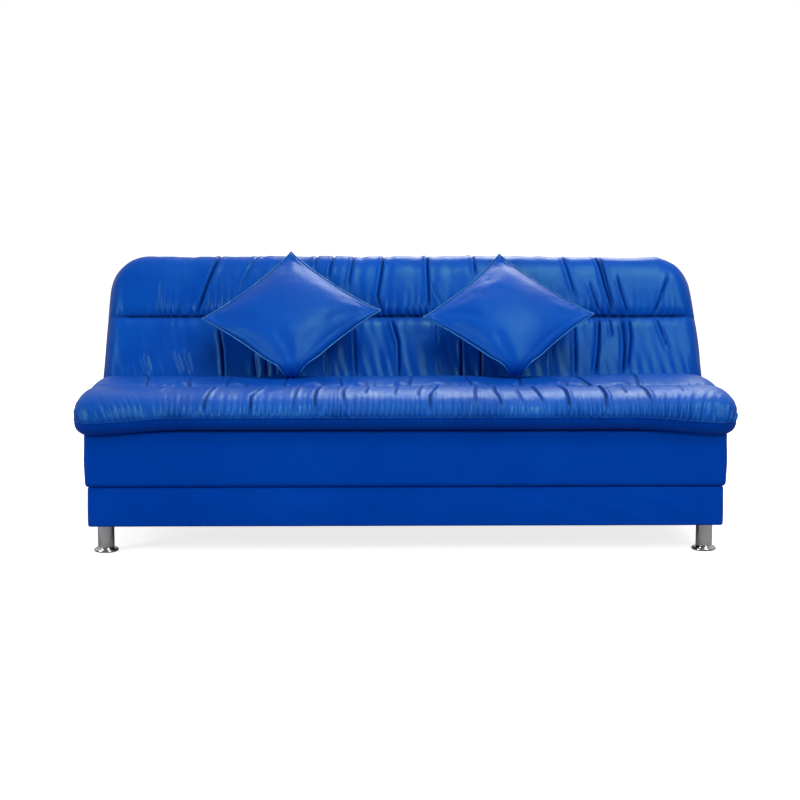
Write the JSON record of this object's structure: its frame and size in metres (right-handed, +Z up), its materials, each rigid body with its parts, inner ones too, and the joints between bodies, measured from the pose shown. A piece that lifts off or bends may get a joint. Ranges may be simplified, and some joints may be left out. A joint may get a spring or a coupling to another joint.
{
  "type": "futon sofa bed",
  "caption": "Click-clack sofa bed: blue leather seat and reclining pleated backrest on an upholstered base with chrome legs, fold-out bed stand and throw pillows.",
  "frame": {"origin": "on the floor, at the middle of the overall box with the backrest upright", "axes": "+X along the width to the sitter's left as seen from behind (viewer's right), -Y out of the front, +Z up"},
  "size_m": [1.7974, 0.8018, 0.7753],
  "materials": {
    "cushion_leather": "gloss",
    "base_leather": "satin",
    "pillow_leather": "gloss",
    "foam": "matte",
    "plywood": "matte",
    "pine": "matte",
    "dust_cloth": "matte",
    "chrome": "polished",
    "steel": "satin",
    "rubber": "matte"
  },
  "bodies": {
    "base": {"base_deck": "plywood", "box_cover": "base_leather", "box_front_rail": "pine", "box_left_rail": "pine", "box_rear_rail": "pine", "box_right_rail": "pine", "dust_cover": "dust_cloth", "hinge_bracket_left": "steel", "hinge_bracket_right": "steel", "hinge_washer_left": "steel", "hinge_washer_right": "steel", "leg_plate_front_left": "steel", "leg_plate_front_right": "steel", "leg_plate_rear_left": "steel", "leg_plate_rear_right": "steel", "leg_tube_front_left": "chrome", "leg_tube_front_right": "chrome", "leg_tube_rear_left": "chrome", "leg_tube_rear_right": "chrome", "pawl_pin_left": "steel", "pawl_pin_right": "steel", "pivot_bolt_left": "steel", "pivot_bolt_right": "steel", "plinth_cover": "base_leather", "plinth_front_rail": "pine", "plinth_left_rail": "pine", "plinth_rear_rail": "pine", "plinth_right_rail": "pine", "seat_centre_rail": "pine", "seat_cover": "cushion_leather", "seat_deck": "plywood", "seat_foam": "foam"},
    "backrest": {"back_bottom_rail": "pine", "back_centre_stile": "pine", "back_cover": "cushion_leather", "back_foam": "foam", "back_left_stile": "pine", "back_rear_panel": "base_leather", "back_right_stile": "pine", "back_top_rail": "pine", "hinge_leaf_left": "steel", "hinge_leaf_right": "steel", "stand_bracket_left": "steel", "stand_bracket_right": "steel", "stand_pin_left": "steel", "stand_pin_right": "steel"},
    "stand": {"stand_crossbar": "chrome", "stand_foot_left": "rubber", "stand_foot_right": "rubber", "stand_leg_left": "chrome", "stand_leg_right": "chrome"},
    "pillow_left": {"pillow_left": "pillow_leather"},
    "pillow_right": {"pillow_right": "pillow_leather"},
    "pawl_left": {"pawl_left": "steel"},
    "pawl_right": {"pawl_right": "steel"},
    "foot_front_left": {"foot_front_left": "chrome"},
    "foot_front_right": {"foot_front_right": "chrome"},
    "foot_rear_left": {"foot_rear_left": "chrome"},
    "foot_rear_right": {"foot_rear_right": "chrome"}
  },
  "joints": [
    {"name": "back_recline", "type": "hinge", "parent": "base", "child": "backrest", "pos_m": [0, 0.19215, 0.365], "axis": [-1, 0, 0], "range_deg": [-5, 71]},
    {"name": "stand_fold", "type": "hinge", "parent": "backrest", "child": "stand", "pos_m": [0, 0.38752, 0.64674], "axis": [1, 0, 0], "range_deg": [0, 90]},
    {"name": "pawl_left_swing", "type": "hinge", "parent": "base", "child": "pawl_left", "pos_m": [-0.8408, 0.16215, 0.315], "axis": [1, 0, 0], "range_deg": [-1.1, 14.3]},
    {"name": "pawl_right_swing", "type": "hinge", "parent": "base", "child": "pawl_right", "pos_m": [0.8408, 0.16215, 0.315], "axis": [1, 0, 0], "range_deg": [-1.1, 14.3]},
    {"name": "pillow_left_tilt", "type": "hinge", "parent": "base", "child": "pillow_left", "pos_m": [-0.318, -0.05085, 0.495], "axis": [-1, 0, 0], "range_deg": [-3.1, 43.4]},
    {"name": "pillow_right_tilt", "type": "hinge", "parent": "base", "child": "pillow_right", "pos_m": [0.32, -0.05085, 0.495], "axis": [-1, 0, 0], "range_deg": [-3.1, 43.4]},
    {"name": "foot_front_left_screw", "type": "slide", "parent": "base", "child": "foot_front_left", "axis": [0, 0, -1], "range_m": [0, 0.01]},
    {"name": "foot_front_right_screw", "type": "slide", "parent": "base", "child": "foot_front_right", "axis": [0, 0, -1], "range_m": [0, 0.01]},
    {"name": "foot_rear_left_screw", "type": "slide", "parent": "base", "child": "foot_rear_left", "axis": [0, 0, -1], "range_m": [0, 0.01]},
    {"name": "foot_rear_right_screw", "type": "slide", "parent": "base", "child": "foot_rear_right", "axis": [0, 0, -1], "range_m": [0, 0.01]}
  ],
  "couplings": [
    {"joint": "pawl_left_swing", "follows": "back_recline", "ratio": 0.2},
    {"joint": "pawl_right_swing", "follows": "back_recline", "ratio": 0.2},
    {"joint": "pillow_left_tilt", "follows": "back_recline", "ratio": 0.61},
    {"joint": "pillow_right_tilt", "follows": "back_recline", "ratio": 0.61}
  ]
}
